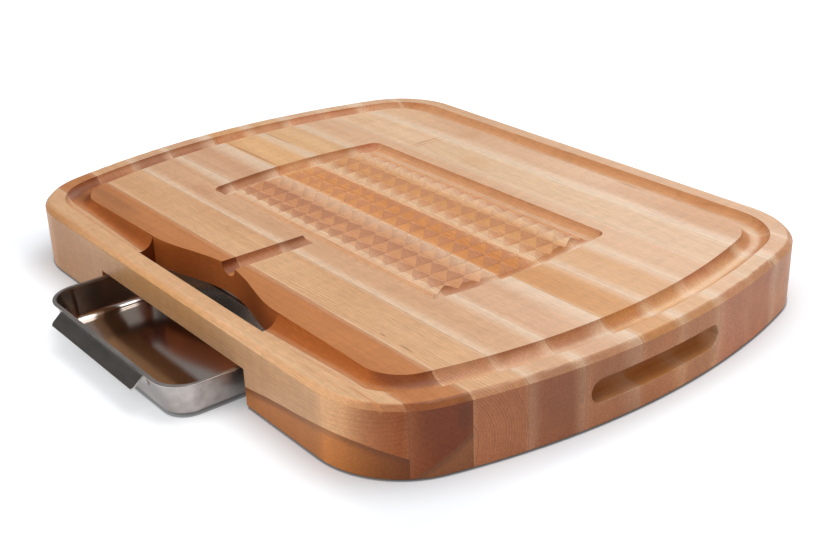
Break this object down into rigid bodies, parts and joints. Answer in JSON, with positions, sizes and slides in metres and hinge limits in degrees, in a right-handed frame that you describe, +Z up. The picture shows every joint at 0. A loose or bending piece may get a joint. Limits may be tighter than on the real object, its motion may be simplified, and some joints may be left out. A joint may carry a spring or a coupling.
{
  "type": "carving board with pull-out pan",
  "caption": "Thick edge-grain maple carving board with bowed ends, a juice groove, a field of small pyramids, finger grips and a steel drip pan that slides out from under its front edge.",
  "frame": {"origin": "on the surface that the board stands on, under the middle of the board", "axes": "+X to the right along the front edge, +Y from the front to the back, +Z up"},
  "size_m": [0.6096, 0.5339, 0.0571],
  "materials": {
    "maple_honey": "oiled",
    "maple_heart": "oiled",
    "maple_cream": "oiled",
    "maple_tan": "oiled",
    "steel_drawn": "polished, drawn",
    "steel_strip": "fine brushed"
  },
  "bodies": {
    "board": {"stave_01": "maple_honey", "stave_02": "maple_heart", "stave_03": "maple_cream", "stave_04": "maple_cream", "stave_05": "maple_honey", "stave_06": "maple_tan", "stave_07": "maple_cream", "stave_08": "maple_honey", "stave_09_left": "maple_cream", "stave_09_right": "maple_honey", "stave_10": "maple_cream", "stave_11": "maple_tan"},
    "pan": {"pan": "steel_drawn", "pan_handle": "steel_strip"}
  },
  "joints": [
    {"name": "pan_slide", "type": "slide", "parent": "board", "child": "pan", "axis": [0, -1, 0], "range_m": [-0.0573, 0.0617]}
  ]
}
